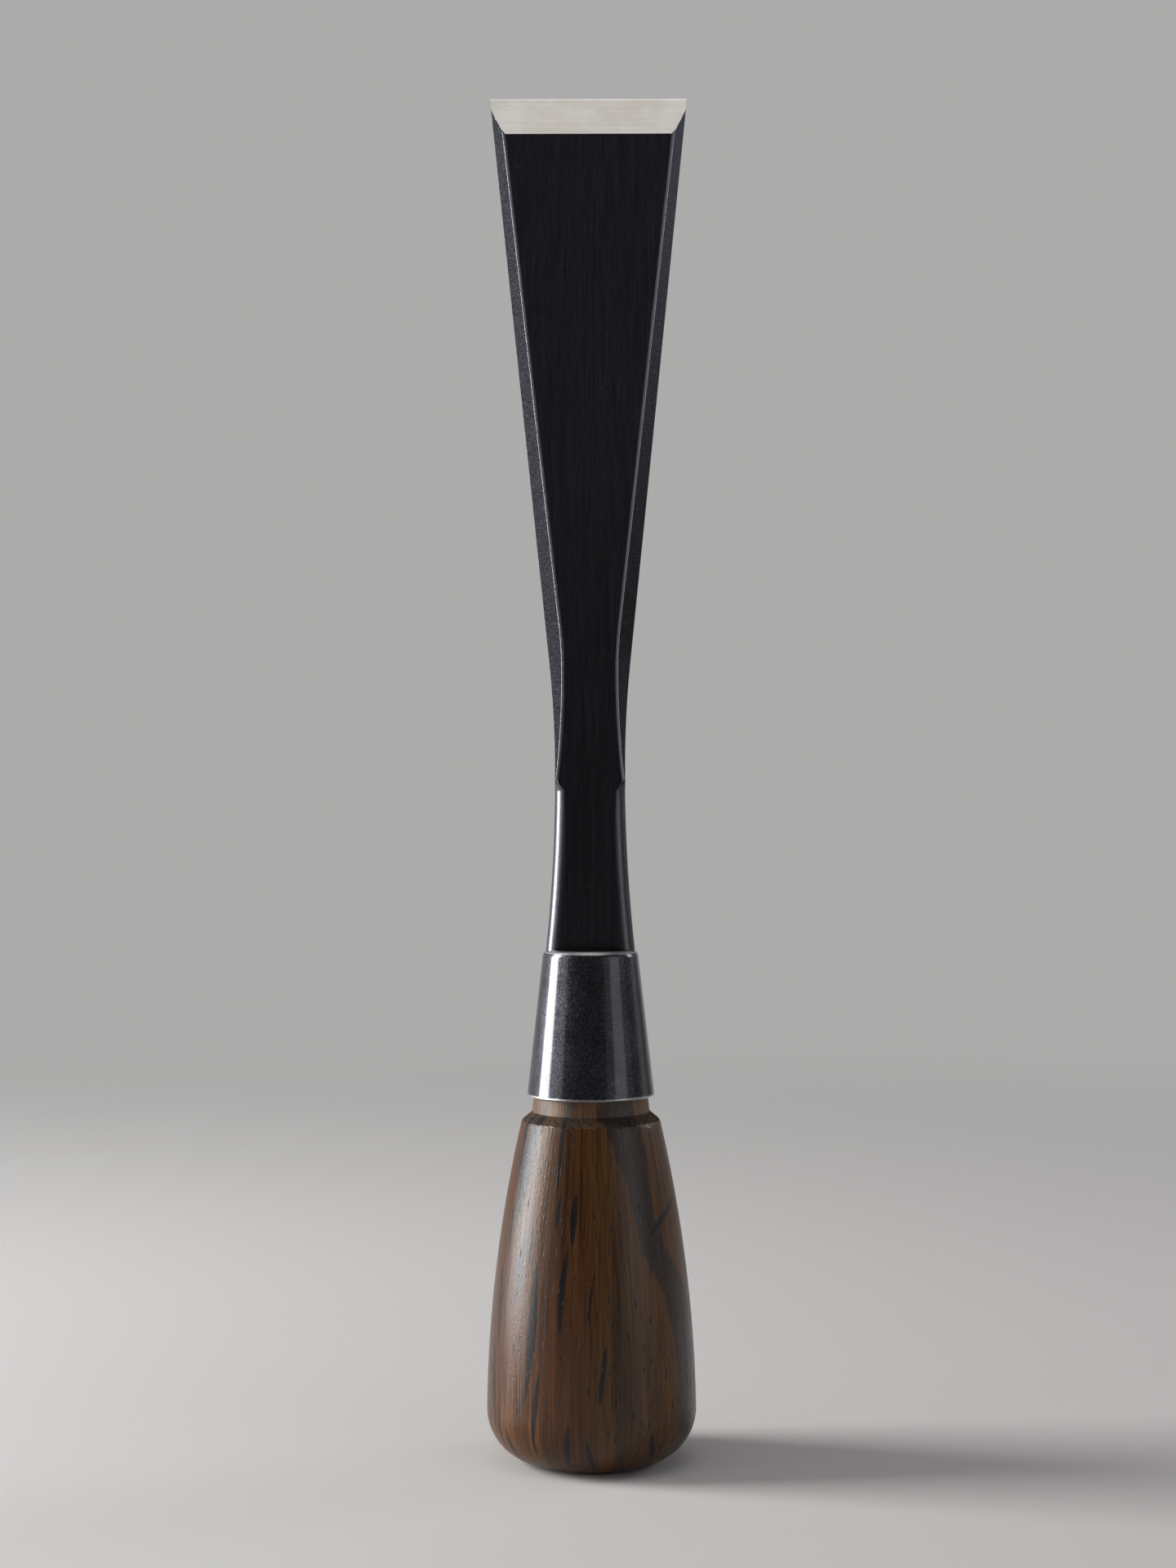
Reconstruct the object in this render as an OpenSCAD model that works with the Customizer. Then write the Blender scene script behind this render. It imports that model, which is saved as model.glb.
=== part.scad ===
// Socket chisel: a flared bevel-edge blade, a conical steel socket and a turned wooden handle.
// Sizes are in millimetres. The butt of the handle stands on z = 0 and the cutting edge is at the top.
// The bevelled front of the blade faces -y and its flat back faces +y.

/* [Blade] */

// Width of the cutting edge
blade_w = 38.1; // [26:0.1:50]
// Length from the rim of the socket crown to the cutting edge
blade_l = 163.9; // [130:0.1:210]
// Thickness at the heel of the main bevel
heel_t = 4.5; // [3:0.1:7]
// Angle of the main bevel to the flat back
main_bevel_a = 30; // [20:1:40]
// Width of the honed strip along the cutting edge
hone_w = 0.35; // [0.1:0.05:1]
// Angle that the honed strip adds to the main bevel
hone_a = 5; // [1:1:10]
// Angle of the side bevels to the front face
side_bevel_a = 56.7; // [45:0.1:70]
// Width of a side bevel at the heel, seen from the front
side_bevel_tip_w = 1.95; // [1:0.05:4]
// Width of a side bevel where its run-out begins, seen from the front
side_bevel_root_w = 2.8; // [1:0.05:4]
// Height above the waist where the side bevels leave their straight line
runout_up = 28; // [16:0.5:40]
// Radius of the bend where the side bevels leave their straight line
runout_bend_r = 98; // [40:1:120]
// Radius of the run-out of the side bevels below the bend
runout_r = 215; // [120:1:300]
// Width of the polished strip along each front arris
arris_w = 0.5; // [0.2:0.05:1]

/* [Neck] */

// Width at the waist
waist_w = 13.4; // [10:0.1:18]
// Height of the waist above the rim of the socket crown
waist_up = 33.9; // [25:0.1:50]
// Radius of the waist on the blade side
waist_r = 200; // [120:1:300]
// Distance of the front flat of the neck from the axis
neck_front = 4.5; // [3:0.1:6]
// Radius that rounds the front arrises of the neck
neck_round = 2.8; // [1:0.1:3.5]
// Distance from the waist down to the upper end of the rounded arrises
round_down = 3.6; // [2:0.1:6]
// Distance of the flat back from the axis
back_y = 4; // [2:0.1:5]
// Distance from the waist down to the soft bend where the front face meets the front flat of the neck
bend_down = 10; // [6:0.5:14]
// Radius of the soft bend
bend_r = 600; // [200:10:900]
// Distance of each side of the foot from the virtual corner of the crown rim
foot_ledge = 0.55; // [0.4:0.05:1]

/* [Socket] */

// Length of the conical socket, up to the virtual corner of the crown rim
socket_l = 28.2; // [20:0.1:40]
// Outside diameter at the mouth
mouth_d = 24.5; // [18:0.1:34]
// Outside diameter at the virtual corner of the crown rim
crown_d = 18.1; // [14:0.1:24]
// Wall thickness, measured square to the axis
wall_t = 1.25; // [0.8:0.05:3]
// Thickness of the closed end below the crown rim
crown_t = 5.7; // [4:0.1:8]
// Slope of the domed crown
crown_a = 4; // [1:1:10]
// Radius of the rounded crown rim
crown_round = 1.8; // [0.8:0.1:2.2]
// Chamfer on both edges of the mouth
lip = 0.25; // [0.1:0.05:0.5]
// Diameter of the spigot that holds the blade in the crown
spigot_d = 7.4; // [5:0.1:7.6]
// Distance that the end of the spigot stays back from the inner face of the crown
spigot_recess = 0.3; // [0:0.1:1]

/* [Handle] */

// Largest diameter of the handle
handle_d = 40.3; // [30:0.1:52]
// Length of the handle up to the shoulder rim
handle_l = 65.2; // [50:0.1:120]
// Width of the end-grain shoulder round the tenon
shoulder_w = 2; // [1:0.1:4]
// Radius that rounds the butt
butt_round = 10; // [5:0.1:13]
// Height of the fullest part of the side curve
belly_z = 5.5; // [3:0.1:10]
// Radius on the shoulder rim
rim_round = 0.4; // [0.2:0.05:1]
// Height of the sloping end-grain shoulder
shoulder_h = 1.7; // [1:0.1:3]
// Length of bare tenon left showing below the socket
tenon_show = 3; // [1:0.1:6]
// Air space between the tenon and the closed end of the socket
tenon_end_gap = 3; // [1:0.1:5]
// Chamfer on the end of the tenon
tenon_chamfer = 0.8; // [0.3:0.1:1.5]

/* [Fits] */

// Space all round between the tenon and the tapered bore
taper_gap = 0.05; // [0.01:0.01:0.1]
// Space between the blade and the socket where they are brazed
seat_gap = 0.02; // [0.01:0.01:0.1]

/* [Hidden] */

$fn = 96;

handle_color = "#5a3a24";
socket_color = "#4a4b50";
blade_color = "#3c3d42";

// Heights along the axis
shoulder_z = handle_l + shoulder_h;
mouth_z = shoulder_z + tenon_show;
rim_z = mouth_z + socket_l;
floor_z = rim_z - crown_t;
waist_z = rim_z + waist_up;
root_z = waist_z + runout_up;
tip_z = rim_z + blade_l;

// The socket cone, and the bore and tenon that run parallel to it
mouth_r = mouth_d / 2;
crown_r = crown_d / 2;
cone_slope = (mouth_r - crown_r) / socket_l;
spigot_r = spigot_d / 2;
cone_n = [1, cone_slope] / norm([1, cone_slope]);
dome_n = [sin(crown_a), cos(crown_a)];

function cone_r(z) = mouth_r - (z - mouth_z) * cone_slope;
function bore_r(z) = cone_r(z) - wall_t;
function tenon_r(z) = bore_r(z) - taper_gap;

// The crown rises from its rim towards the axis
function dome_z(r) = rim_z + (crown_r - r) * tan(crown_a);

// The main bevel, with the honed strip at its top
hone_y = back_y - hone_w * sin(main_bevel_a + hone_a);
hone_z = tip_z - hone_w * cos(main_bevel_a + hone_a);
heel_y = back_y - heel_t;
heel_z = hone_z - (hone_y - heel_y) / tan(main_bevel_a);

// The front face slopes from the heel to the front flat of the neck
bend_z = waist_z - bend_down;
face_slope = (heel_y + neck_front) / (heel_z - bend_z);
face_a = atan(face_slope);

function face_y(z) = heel_y - (heel_z - z) * face_slope;

// The side of the blade leaves the cutting edge in a straight line and meets the waist curve at a tangent
half_w = blade_w / 2;
half_waist = waist_w / 2;
waist_x = half_waist + waist_r;
reach = norm([waist_x - half_w, waist_z - tip_z]);
taper_l = sqrt(reach * reach - waist_r * waist_r);
taper_dir = atan2(waist_z - tip_z, waist_x - half_w) - asin(waist_r / reach);
taper_x = half_w + taper_l * cos(taper_dir);
taper_z = tip_z + taper_l * sin(taper_dir);
taper_slope = (half_w - taper_x) / (tip_z - taper_z);

function side_x(z) = taper_x + (z - taper_z) * taper_slope;

// Extra length that takes cuts past the surfaces they cut
spare = 5;

// The sides of the neck curve outwards from the waist to the foot on the crown
foot_x = crown_r - foot_ledge;
neck_swell = foot_x - half_waist;
neck_r = (waist_up * waist_up + neck_swell * neck_swell) / (2 * neck_swell);
neck_x = half_waist + neck_r;

// The handle's side curve passes through the shoulder rim and meets the rounded butt at a tangent
handle_r = handle_d / 2;
rim_r = tenon_r(shoulder_z) + shoulder_w;
side_drop = handle_r - rim_r;
side_rise = handle_l - belly_z;
side_r = (side_rise * side_rise + side_drop * side_drop) / (2 * side_drop);
side_x0 = handle_r - side_r;
butt_a = asin((butt_round - belly_z) / (side_r - butt_round));
butt_x = side_x0 + (side_r - butt_round) * cos(butt_a);

// Points on an arc, from one angle to the other
function arc(centre, r, from_a, to_a, steps) = [
    for (i = [0 : steps])
        let (a = from_a + (to_a - from_a) * i / steps)
            centre + r * [cos(a), sin(a)]
];

// Centre of the round of a corner, and points on the round, given the corner's two outward normals in order
function round_centre(corner, n1, n2, r) = corner - (n1 + n2) * r / (1 + n1 * n2);
function corner_arc(corner, n1, n2, r, steps) =
    arc(round_centre(corner, n1, n2, r), r, atan2(n1.y, n1.x), atan2(n2.y, n2.x), steps);

// The same points on the other side of the axis, in reverse order
function mirrored(points) = [for (i = [len(points) - 1 : -1 : 0]) [-points[i].x, points[i].y]];

// Draws a side view, given as distance to the back and height, and stretches it across the blade
module across(width) {
    rotate([90, 0, 90])
        linear_extrude(height = width, center = true)
            children();
}

// Draws a front view, given as distance to the right and height, and stretches it from front to back
module through(depth) {
    rotate([90, 0, 0])
        linear_extrude(height = depth, center = true)
            children();
}

// Handle: rounded butt, full belly, sloping end-grain shoulder and tapered tenon, turned in one piece
module handle() {
    rim_a = asin(side_rise / side_r);
    shoulder_n = [shoulder_h, shoulder_w] / norm([shoulder_h, shoulder_w]);
    round_a = asin((side_rise - rim_round) / side_r);
    side_steps = 40;
    side_step_a = (round_a - butt_a) / side_steps;
    top_z = floor_z - tenon_end_gap;
    color(handle_color)
        rotate_extrude()
            polygon(concat(
                [[0, 0]],
                arc([butt_x, butt_round], butt_round, -90, butt_a, 20),
                arc([side_x0, belly_z], side_r, butt_a + side_step_a, round_a, side_steps - 1),
                corner_arc([rim_r, handle_l], [cos(rim_a), sin(rim_a)], shoulder_n, rim_round, 6),
                [[tenon_r(shoulder_z), shoulder_z]],
                [[tenon_r(top_z - tenon_chamfer), top_z - tenon_chamfer]],
                [[tenon_r(top_z) - tenon_chamfer, top_z]],
                [[0, top_z]]
            ));
}

// Socket: conical shell with a closed domed crown, and a hole in the crown for the blade's spigot
module socket() {
    hole_r = spigot_r + seat_gap;
    color(socket_color)
        rotate_extrude()
            polygon(concat(
                [[bore_r(mouth_z) + lip, mouth_z]],
                [[mouth_r - lip, mouth_z]],
                [[cone_r(mouth_z + lip), mouth_z + lip]],
                corner_arc([crown_r, rim_z], cone_n, dome_n, crown_round, 8),
                [[hole_r, dome_z(hole_r)]],
                [[hole_r, floor_z]],
                [[bore_r(floor_z), floor_z]],
                [[bore_r(mouth_z + lip), mouth_z + lip]]
            ));
}

// Side view of the blade: flat back, honed strip, main bevel, sloping front face, soft bend and front flat
module side_view() {
    low_z = rim_z - spare;
    bend_low = bend_z - bend_r * tan(face_a / 2);
    polygon(concat(
        [[back_y, low_z]],
        [[back_y, tip_z]],
        [[hone_y, hone_z]],
        [[heel_y, heel_z]],
        arc([bend_r - neck_front, bend_low], bend_r, 180 - face_a, 180, 6),
        [[-neck_front, low_z]]
    ));
}

// Front view of the blade: straight flared sides, hollow waist and spreading neck
module front_view() {
    low_z = rim_z - spare;
    top_a = asin((taper_z - waist_z) / waist_r);
    low_a = asin((waist_z - low_z) / neck_r);
    neck_steps = 16;
    right = concat(
        [[half_w, tip_z]],
        arc([waist_x, waist_z], waist_r, 180 - top_a, 180, 16),
        arc([neck_x, waist_z], neck_r, 180 + low_a / neck_steps, 180 + low_a, neck_steps - 1)
    );
    polygon(concat(right, mirrored(right)));
}

// Space that the foot of the neck may fill: it follows the crown at the seat gap, stays just inside
// the edge of the crown, and opens at 45 degrees above the middle of the neck
module foot_space() {
    edge_inset = 0.15;
    edge_r = crown_r - edge_inset;
    open_z = waist_z - waist_up / 2;
    open_l = tip_z - open_z + spare;
    seat_r = crown_round + seat_gap;
    crown_centre = round_centre([crown_r, rim_z], cone_n, dome_n, crown_round);
    low_a = acos((edge_r - crown_centre.x) / seat_r);
    rotate_extrude()
        polygon(concat(
            [[0, dome_z(0) + seat_gap / cos(crown_a)]],
            arc(crown_centre, seat_r, 90 - crown_a, low_a, 10),
            [[edge_r, open_z]],
            [[edge_r + open_l, open_z + open_l]],
            [[0, open_z + open_l]]
        ));
}

// Cuts along the right-hand arris of the front face. The cut face leans by a given angle from the front
// face and lies a given depth below the arris. It bends until the arris stands upright, and runs out in a
// curve at the waist.
module arris_cut(lean, depth) {
    tip_u = (side_x(heel_z) - side_bevel_tip_w) * sin(lean) - heel_y * cos(lean) - depth;
    root_u = (side_x(root_z) - side_bevel_root_w) * sin(lean) - face_y(root_z) * cos(lean) - depth;
    slope = (tip_u - root_u) / (heel_z - root_z);
    tilt = atan(slope);
    upright = -atan(face_slope * cos(lean));
    widen = sin(side_bevel_a) / sin(lean);
    bend_centre = [root_u, root_z] + runout_bend_r * widen * [cos(tilt), -sin(tilt)];
    curve_r = runout_r * widen;
    curve_centre = bend_centre + (runout_r - runout_bend_r) * widen * [cos(upright), -sin(upright)];
    low_z = waist_z - 3 * spare;
    low_a = asin((curve_centre.y - low_z) / curve_r);
    curve_steps = 16;
    curve_step_a = (low_a + upright) / curve_steps;
    top_z = tip_z + spare;
    out_u = 2 * blade_w;
    rotate([0, 0, lean - 90])
        through(4 * blade_w)
            polygon(concat(
                [[root_u + slope * (top_z - root_z), top_z]],
                arc(bend_centre, runout_bend_r * widen, 180 - tilt, 180 - upright, 6),
                arc(curve_centre, curve_r, 180 - upright + curve_step_a, 180 + low_a, curve_steps - 1),
                [[out_u, low_z]],
                [[out_u, top_z]]
            ));
}

// Cuts one flat of the rounded right-hand front arris of the neck, at a given angle from the front flat.
// At its upper end the cut rises out of the steel at a steep slope.
module round_cut(lean) {
    path_r = neck_r / sin(lean);
    waist_u = (half_waist - neck_round) * sin(lean) + (neck_front - neck_round) * cos(lean) + neck_round;
    low_z = rim_z - spare;
    top_z = waist_z - round_down;
    low_a = asin((waist_z - low_z) / path_r);
    top_a = asin(round_down / path_r);
    top_u = waist_u + path_r * (1 - cos(top_a));
    out_u = top_u + 4 * spare;
    end_slope = 3;
    rotate([0, 0, lean - 90])
        through(4 * blade_w)
            polygon(concat(
                arc([waist_u + path_r, waist_z], path_r, 180 + top_a, 180 + low_a, 16),
                [[out_u, low_z]],
                [[out_u, top_z + (out_u - top_u) * end_slope]]
            ));
}

// Blade: bevel-edge blade, waist and neck in one piece, with a spigot below that the crown holds
module blade() {
    arris_depth = arris_w / (2 * tan(90 - side_bevel_a / 2));
    round_flats = 4;
    round_step_a = 90 / (round_flats + 1);
    spigot_z = floor_z + spigot_recess;
    color(blade_color) {
        difference() {
            intersection() {
                across(4 * blade_w)
                    side_view();
                through(4 * blade_w)
                    front_view();
                foot_space();
            }
            for (flip = [0, 1])
                mirror([flip, 0, 0]) {
                    arris_cut(side_bevel_a, 0);
                    arris_cut(side_bevel_a / 2, arris_depth);
                    for (i = [1 : round_flats])
                        round_cut(i * round_step_a);
                }
        }
        translate([0, 0, spigot_z])
            cylinder(r = spigot_r, h = rim_z + spare - spigot_z);
    }
}

handle();
socket();
blade();
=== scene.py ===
from math import asin, atan, atan2, cos, degrees, hypot, pi, radians, sin, sqrt, tan

import bmesh
import bpy
import numpy as np
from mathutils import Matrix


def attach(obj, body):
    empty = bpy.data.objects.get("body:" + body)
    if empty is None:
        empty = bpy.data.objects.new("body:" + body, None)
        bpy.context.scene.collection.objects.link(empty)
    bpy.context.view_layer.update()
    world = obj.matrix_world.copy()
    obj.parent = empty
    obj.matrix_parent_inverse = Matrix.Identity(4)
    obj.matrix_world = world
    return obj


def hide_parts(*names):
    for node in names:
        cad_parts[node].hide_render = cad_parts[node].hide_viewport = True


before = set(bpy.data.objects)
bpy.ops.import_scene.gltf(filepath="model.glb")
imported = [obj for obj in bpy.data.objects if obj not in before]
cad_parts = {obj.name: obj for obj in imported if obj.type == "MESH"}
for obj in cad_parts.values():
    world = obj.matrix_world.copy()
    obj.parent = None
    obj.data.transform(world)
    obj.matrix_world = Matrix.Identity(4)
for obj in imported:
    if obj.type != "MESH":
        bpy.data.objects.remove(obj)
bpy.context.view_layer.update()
print("frame:", ", ".join(sorted(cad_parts)))

scene = bpy.context.scene
scene.view_settings.view_transform = "Standard"
mm = 0.001
join = np.concatenate


# Meshes

# A straight leg of a profile: points from one end towards the other, without the other end itself
def leg(start, end, count):
    t = np.arange(count)[:, None] / count
    return np.array(start) * (1 - t) + np.array(end) * t


# A round leg of a profile: points on a circle about a centre, from one angle towards the other in degrees
def arcLeg(centre, radius, fromAngle, toAngle, count):
    a = np.radians(fromAngle + (toAngle - fromAngle) * np.arange(count) / count)
    return np.array(centre) + radius * np.stack([np.cos(a), np.sin(a)], 1)


# Where each leg of a profile starts, and then the number of points in all
def legStarts(legs):
    return np.cumsum([0] + [len(points) for points in legs])


# A profile of radius and height carried round the axis: x = r sin a, y = -r cos a, so that a = 0 is the front
def turned(profile, columns):
    a = np.arange(columns) * 2 * pi / columns
    r, z = profile[:, :1], profile[:, 1:]
    return np.stack([r * np.sin(a), -r * np.cos(a), z + 0 * a], 2)


# Distances along a profile as shares of its whole length, for the map
def shares(steps):
    along = join([[0], np.cumsum(steps)])
    return along / along[-1]


# The quads of a grid of points. Each row is a ring whose last column meets its first. Each row is joined to
# the next, and the last one to the first where the profile closes.
def gridQuads(rows, columns, profileCloses=False):
    r = np.arange(rows if profileCloses else rows - 1)[:, None]
    c = np.arange(columns)[None, :]
    down, right = (r + 1) % rows, (c + 1) % columns
    corners = [r * columns + c, down * columns + c, down * columns + right, r * columns + right]
    return np.stack(corners, 2)


skinLimits = {"merge": 0.002 * mm, "degenerate": 0.0005 * mm}


# A grid of points in mm becomes a closed skin, with a map and a finish for each quad. Points that fall
# together are merged. Marks are values kept at the points for the finishes.
def skin(name, points, mapU, mapV, finishes, finishOf, marks, sharpAngle, profileCloses=False):
    rows, columns = points.shape[:2]
    quads = gridQuads(rows, columns, profileCloses)
    r, c = np.arange(len(quads))[:, None], np.arange(columns)[None, :]
    mesh = bpy.data.meshes.new(name)
    mesh.from_pydata((points.reshape(-1, 3) * mm).tolist(), [], quads.reshape(-1, 4).tolist())
    u = np.stack([mapU[c], mapU[c], mapU[c + 1], mapU[c + 1]], 2) + 0 * r[:, :, None]
    v = np.stack([mapV[r], mapV[r + 1], mapV[r + 1], mapV[r]], 2) + 0 * c[:, :, None]
    uvMap = mesh.uv_layers.new(name="OFBake")
    uvMap.data.foreach_set("uv", np.stack([u, v], 3).ravel().astype(np.float32))
    for markName, values in marks.items():
        kept = mesh.attributes.new(markName, "FLOAT", "POINT")
        kept.data.foreach_set("value", np.broadcast_to(values, (rows, columns)).ravel().astype(np.float32))
    for finish in finishes:
        mesh.materials.append(finish)
    indexes = np.broadcast_to(finishOf, quads.shape[:2]).ravel().astype(np.int32)
    mesh.polygons.foreach_set("material_index", indexes)
    work = bmesh.new()
    work.from_mesh(mesh)
    bmesh.ops.remove_doubles(work, verts=work.verts, dist=skinLimits["merge"])
    bmesh.ops.dissolve_degenerate(work, edges=work.edges, dist=skinLimits["degenerate"])
    bmesh.ops.recalc_face_normals(work, faces=work.faces)
    work.to_mesh(mesh)
    work.free()
    mesh.shade_smooth()
    mesh.set_sharp_from_angle(angle=radians(sharpAngle))
    piece = bpy.data.objects.new(name, mesh)
    scene.collection.objects.link(piece)
    flatter = piece.modifiers.new("evenShading", "WEIGHTED_NORMAL")
    flatter.keep_sharp = True
    print(name, len(mesh.polygons), "faces")
    return piece


# Shader helpers

# Links a socket to an input of a node, or sets the input to a value
def give(node, key, value):
    if isinstance(value, bpy.types.NodeSocket):
        node.id_data.links.new(value, node.inputs[key])
    else:
        node.inputs[key].default_value = value


trees = []


# Nodes go into the tree made last
def addNode(kind, inputs=None, **settings):
    made = trees[-1].nodes.new("ShaderNode" + kind)
    for key, value in settings.items():
        setattr(made, key, value)
    for key, value in (inputs or {}).items():
        give(made, key, value)
    return made


def maths(operation, a, b=0.0, c=0.0, clamp=False):
    return addNode("Math", {0: a, 1: b, 2: c}, operation=operation, use_clamp=clamp).outputs[0]


def product(a, b):
    return maths("MULTIPLY", a, b)


# a times b, plus c
def timesPlus(a, b, c):
    return maths("MULTIPLY_ADD", a, b, c)


# A pattern of values about a half becomes one about zero, made larger or smaller
def centred(value, by):
    return timesPlus(value, by, -by / 2)


# Rises from 0 at low to 1 at high in a smooth step
def rise(value, low, high):
    inputs = {"Value": value, "From Min": low, "From Max": high}
    return addNode("MapRange", inputs, interpolation_type="SMOOTHSTEP").outputs["Result"]


# Goes evenly from one value to another while a pattern goes through its middle range
def ranged(value, toLow, toHigh, low=0.3, high=0.7):
    inputs = {"Value": value, "From Min": low, "From Max": high, "To Min": toLow, "To Max": toHigh}
    return addNode("MapRange", inputs).outputs["Result"]


def vectorMaths(operation, a, b, c=(0.0, 0.0, 0.0)):
    return addNode("VectorMath", {0: a, 1: b, 2: c}, operation=operation).outputs[0]


def stretched(vector, by):
    return vectorMaths("MULTIPLY", vector, by)


def lengthOf(vector):
    return addNode("VectorMath", {0: vector}, operation="LENGTH").outputs["Value"]


def coordinates(vector):
    return addNode("SeparateXYZ", {0: vector}).outputs


def noise(vector, scale, detail, rough):
    inputs = {"Vector": vector, "Scale": scale, "Detail": detail, "Roughness": rough}
    return addNode("TexNoise", inputs).outputs[0]


def blended(factor, a, b, way="MIX"):
    return addNode("Mix", {0: factor, 6: a, 7: b}, data_type="RGBA", blend_type=way).outputs[2]


# From colour a to colour b while a pattern rises from low to high
def between(pattern, low, high, a, b):
    return blended(rise(pattern, low, high), a, b)


# An amount of a tone mixed into a base where a mask says, or while a pattern rises from low to high
def mixedIn(base, mask, amount, tone):
    return blended(product(mask, amount), base, tone)


def risenIn(base, pattern, low, high, amount, tone):
    return mixedIn(base, rise(pattern, low, high), amount, tone)


def colour(red, green, blue):
    return (red, green, blue, 1.0)


def grey(value):
    return colour(value, value, value)


# A node group. Fill gets its input sockets, and gives its outputs by name.
def effect(name, inputs, outputs, fill):
    tree = bpy.data.node_groups.new(name, "ShaderNodeTree")
    trees.append(tree)
    for way, sockets in (("INPUT", inputs), ("OUTPUT", outputs)):
        for socket, kind in sockets.items():
            tree.interface.new_socket(socket, in_out=way, socket_type="NodeSocket" + kind)
    given = tree.nodes.new("NodeGroupInput")
    taken = tree.nodes.new("NodeGroupOutput")
    for socket, value in fill(given.outputs).items():
        give(taken, socket, value)
    return tree


def useEffect(group, inputs):
    return addNode("Group", inputs, node_tree=group).outputs


# A material with a Principled shader. Gives the material, the shader and Object coordinates in mm.
def newFinish(name, metallic, specular=0.5, coat=0.0, coatRough=0.2):
    finish = bpy.data.materials.new(name)
    finish.use_nodes = True
    trees.append(finish.node_tree)
    shader = finish.node_tree.nodes["Principled BSDF"]
    names = ("Metallic", "Specular IOR Level", "Coat Weight", "Coat Roughness")
    for key, value in zip(names, (metallic, specular, coat, coatRough)):
        give(shader, key, value)
    place = addNode("TexCoord").outputs["Object"]
    return finish, shader, stretched(place, (1 / mm, 1 / mm, 1 / mm))


def mark(name):
    return addNode("Attribute", attribute_name=name).outputs["Fac"]


# Gives the shader its colour, its roughness and, where there is one, a relief with its depth in mm
def feed(shader, base, rough, height=None, depthMm=0.0):
    give(shader, "Base Color", base)
    give(shader, "Roughness", rough)
    if height is not None:
        bump = addNode("Bump", {"Height": height, "Distance": depthMm * mm})
        give(shader, "Normal", bump.outputs[0])


# Shared effects

# In a look, a noise is its scale per mm, detail and roughness, and a step is where it starts and ends
wearLook = {"breaks": (1.4, 3, 0.6), "step": (0.35, 0.85)}
brushLook = {"fine": (1.0, 4, 0.65), "fineShare": 0.6, "broad": (0.28, 2, 0.5), "broadShare": 0.4}
speckLook = {"fade": 1.8, "missingStep": 0.3}


# Wear along an edge: the edge mark, broken up by noise, so that bare metal shows in an uneven line
def fillWornEdge(given):
    broken = noise(given["Place"], *wearLook["breaks"])
    reach = product(centred(broken, 1.0), given["Breaks"])
    return {"Mask": rise(maths("ADD", given["Edge"], reach), *wearLook["step"])}


# Brush or grinding lines: noise drawn out along one direction, fine lines on broad ones
def fillBrushed(given):
    place = stretched(given["Place"], given["Stretch"])
    fine = product(noise(place, *brushLook["fine"]), brushLook["fineShare"])
    return {"Lines": timesPlus(noise(place, *brushLook["broad"]), brushLook["broadShare"], fine)}


# Specks: a small grain in each cell of a Voronoi pattern, some of them left out
def fillSpecks(given):
    place = stretched(given["Place"], given["Stretch"])
    cells = addNode("TexVoronoi", {"Vector": place, "Scale": 1.0, "Randomness": 1.0})
    faded = product(given["Size"], speckLook["fade"])
    near = maths("SUBTRACT", 1.0, rise(cells.outputs["Distance"], given["Size"], faded))
    chance = addNode("SeparateColor", {0: cells.outputs["Color"]}).outputs[0]
    sure = maths("ADD", given["Missing"], speckLook["missingStep"])
    return {"Mask": product(near, rise(chance, given["Missing"], sure))}


wornEdge = effect("wornEdge", {"Edge": "Float", "Place": "Vector", "Breaks": "Float"}, {"Mask": "Float"},
                  fillWornEdge)
brushed = effect("brushed", {"Place": "Vector", "Stretch": "Vector"}, {"Lines": "Float"}, fillBrushed)
specks = effect("specks", {"Place": "Vector", "Stretch": "Vector", "Size": "Float", "Missing": "Float"},
                {"Mask": "Float"}, fillSpecks)


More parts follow.
